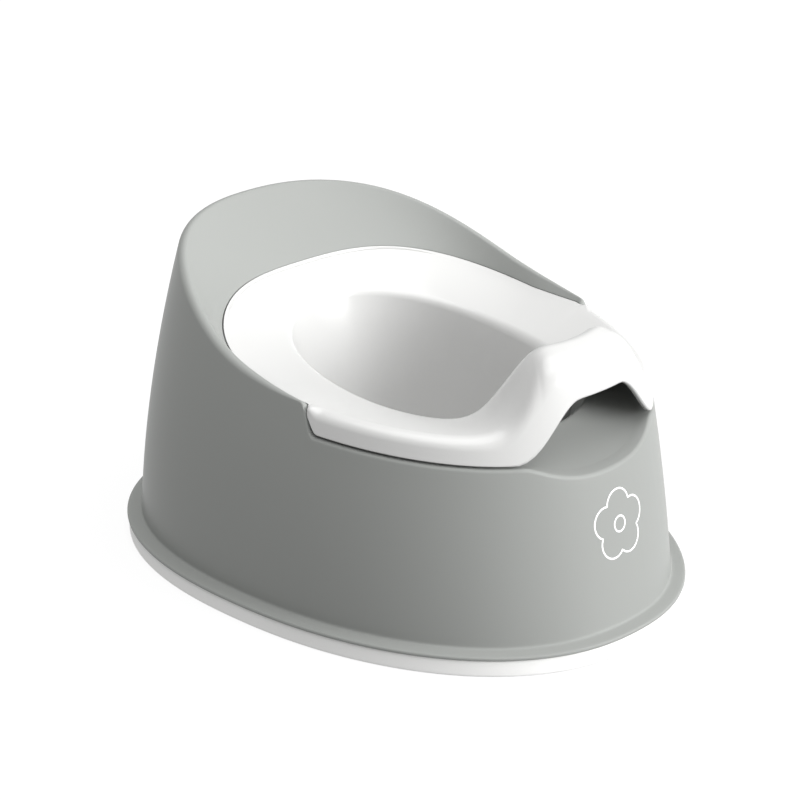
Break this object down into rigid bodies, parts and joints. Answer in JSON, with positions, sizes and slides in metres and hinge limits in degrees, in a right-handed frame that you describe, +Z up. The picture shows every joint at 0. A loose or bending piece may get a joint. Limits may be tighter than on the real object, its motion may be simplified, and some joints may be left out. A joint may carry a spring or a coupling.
{
  "type": "potty training chair",
  "caption": "Low child's potty chair: oval grey shell with raised back rest on a rubber ring, and a white lift-out inner potty with splash guard.",
  "frame": {"origin": "on the floor under the middle of the base ring", "axes": "+Z up, -Y towards the front (splash guard), +X to the left of a child seated in it; +Y is the back rest"},
  "size_m": [0.2704, 0.3498, 0.1843],
  "materials": {
    "shell_plastic": "smooth moulded polypropylene, light grey, semi-gloss",
    "potty_plastic": "smooth moulded polypropylene, white, glossy",
    "ring_rubber": "soft white thermoplastic rubber, satin"
  },
  "bodies": {
    "shell": {"outer_shell": "shell_plastic", "grip_ring": "ring_rubber"},
    "potty": {"inner_potty": "potty_plastic"}
  },
  "joints": [
    {"name": "potty_lift", "type": "slide", "parent": "shell", "child": "potty", "axis": [0, 0, 1], "range_m": [0, 0.2]}
  ]
}
